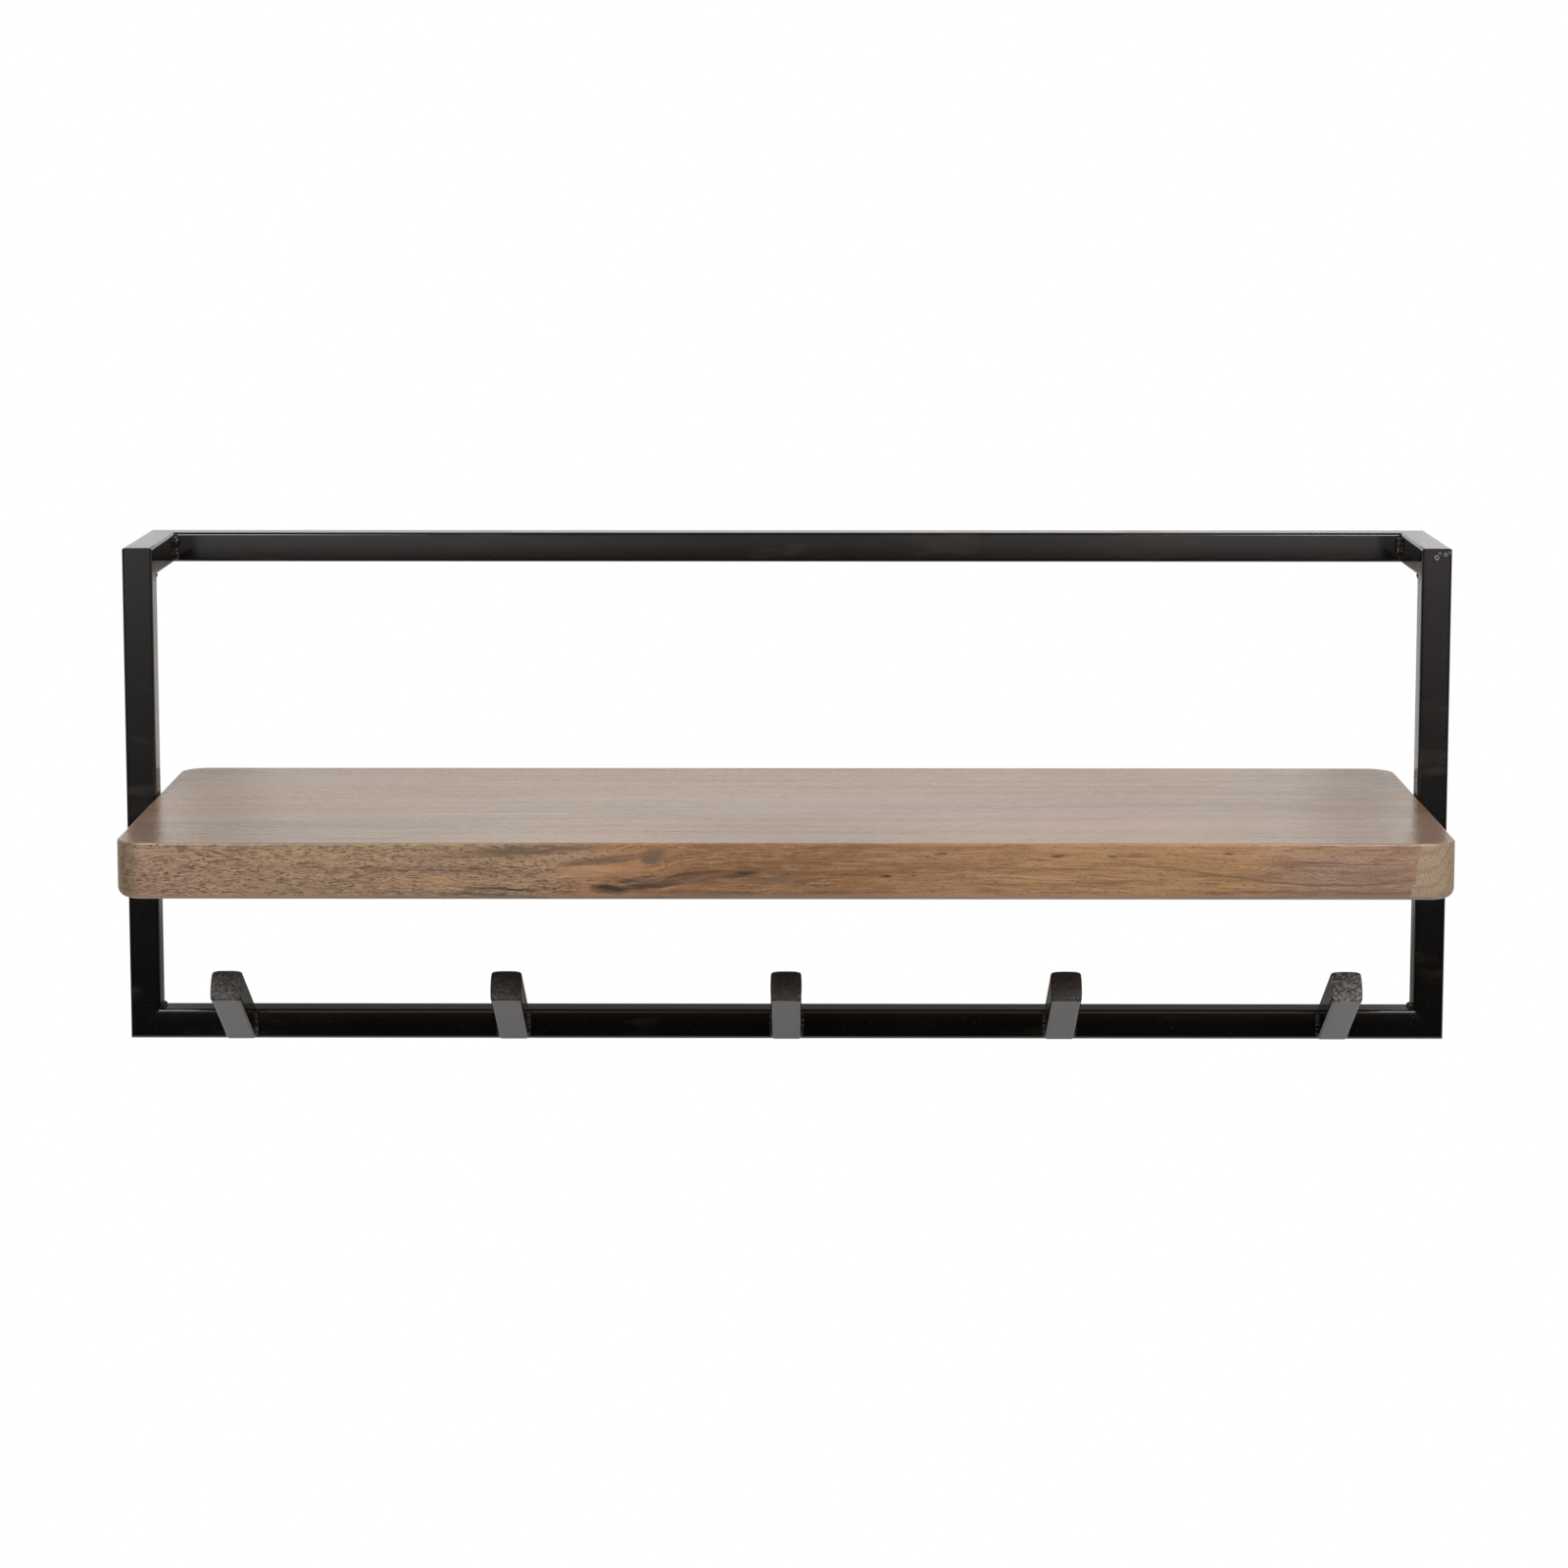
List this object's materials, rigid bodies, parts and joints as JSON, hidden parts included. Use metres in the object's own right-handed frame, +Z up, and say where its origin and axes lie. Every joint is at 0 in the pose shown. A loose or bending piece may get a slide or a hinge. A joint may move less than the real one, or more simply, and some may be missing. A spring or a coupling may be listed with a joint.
{
  "type": "wall coat rack with shelf",
  "caption": "Wall coat rack: a thick wooden shelf held in a welded square-tube frame, with a row of sloping square hooks along its bottom rail.",
  "frame": {"origin": "middle of the rear top bar's back face, on the wall plane", "axes": "+Z up, +Y into the wall, X along the rack; the rack stands out from the wall towards -Y"},
  "size_m": [0.88, 0.2875, 0.331],
  "materials": {
    "frame_paint": "gloss black paint",
    "weld_paint": "gloss black paint over weld beads",
    "plug_plastic": "moulded black with a fine pebble grain",
    "shelf_wood": "satin clear lacquer on edge-glued boards",
    "screw_zinc": "zinc plate"
  },
  "bodies": {
    "root": {"left_upright": "frame_paint", "right_upright": "frame_paint", "bottom_rail": "frame_paint", "left_top_arm": "frame_paint", "right_top_arm": "frame_paint", "rear_top_bar": "frame_paint", "hook_1": "frame_paint", "hook_2": "frame_paint", "hook_3": "frame_paint", "hook_4": "frame_paint", "hook_5": "frame_paint", "left_shelf_bracket": "frame_paint", "right_shelf_bracket": "frame_paint", "rear_corner_welds": "weld_paint", "upper_corner_welds": "weld_paint", "lower_corner_welds": "weld_paint", "hook_welds": "weld_paint", "bracket_welds": "weld_paint", "hook_plug_1": "plug_plastic", "hook_plug_2": "plug_plastic", "hook_plug_3": "plug_plastic", "hook_plug_4": "plug_plastic", "hook_plug_5": "plug_plastic", "shelf_board_front": "shelf_wood", "shelf_board_middle": "shelf_wood", "shelf_board_back": "shelf_wood", "shelf_screws": "screw_zinc"}
  },
  "joints": []
}
